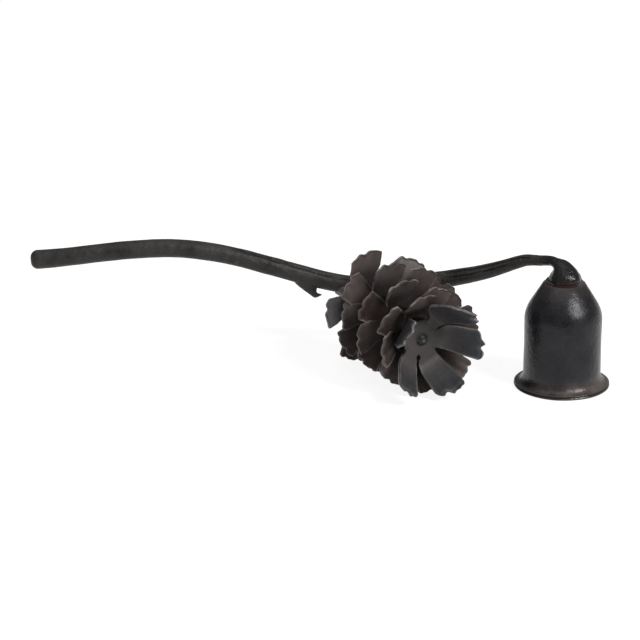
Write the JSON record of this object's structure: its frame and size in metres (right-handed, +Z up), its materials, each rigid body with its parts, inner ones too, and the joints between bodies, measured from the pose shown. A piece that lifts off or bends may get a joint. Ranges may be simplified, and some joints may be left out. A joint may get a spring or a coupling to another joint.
{
  "type": "candle snuffer",
  "caption": "Forged iron candle snuffer: flared bell riveted under the hooked end of a branch-shaped handle, with a pine cone of slit, scalloped sheet rosettes at its side.",
  "frame": {"origin": "centre of the bell's mouth on the plane of its rim, which is the plane the snuffer rests on", "axes": "+Z up along the bell's axis, the handle runs from the bell toward -X, the pine cone hangs on the -Y side of the handle"},
  "size_m": [0.2919, 0.1019, 0.0653],
  "materials": {
    "bell_iron": "black wax over a pebbly forged skin, satin",
    "branch_iron": "black wax over hammer marks, matte",
    "front_petal_iron": "black wax over blue fire scale, satin, edges worn lighter",
    "petal_iron": "black wax over brown fire scale, satin, edges worn lighter",
    "rivet_iron": "black wax over turned and hammered iron, satin"
  },
  "bodies": {
    "root": {"bell": "bell_iron", "seat_washer": "rivet_iron", "burr_washer": "rivet_iron", "branch": "branch_iron", "twig_stub": "branch_iron", "rosette_1": "front_petal_iron", "rosette_2": "petal_iron", "rosette_3": "petal_iron", "rosette_4": "petal_iron", "rosette_5": "petal_iron", "spacer_1": "rivet_iron", "spacer_2": "rivet_iron", "spacer_3": "rivet_iron", "spacer_4": "rivet_iron", "cone_stem": "rivet_iron"}
  },
  "joints": []
}
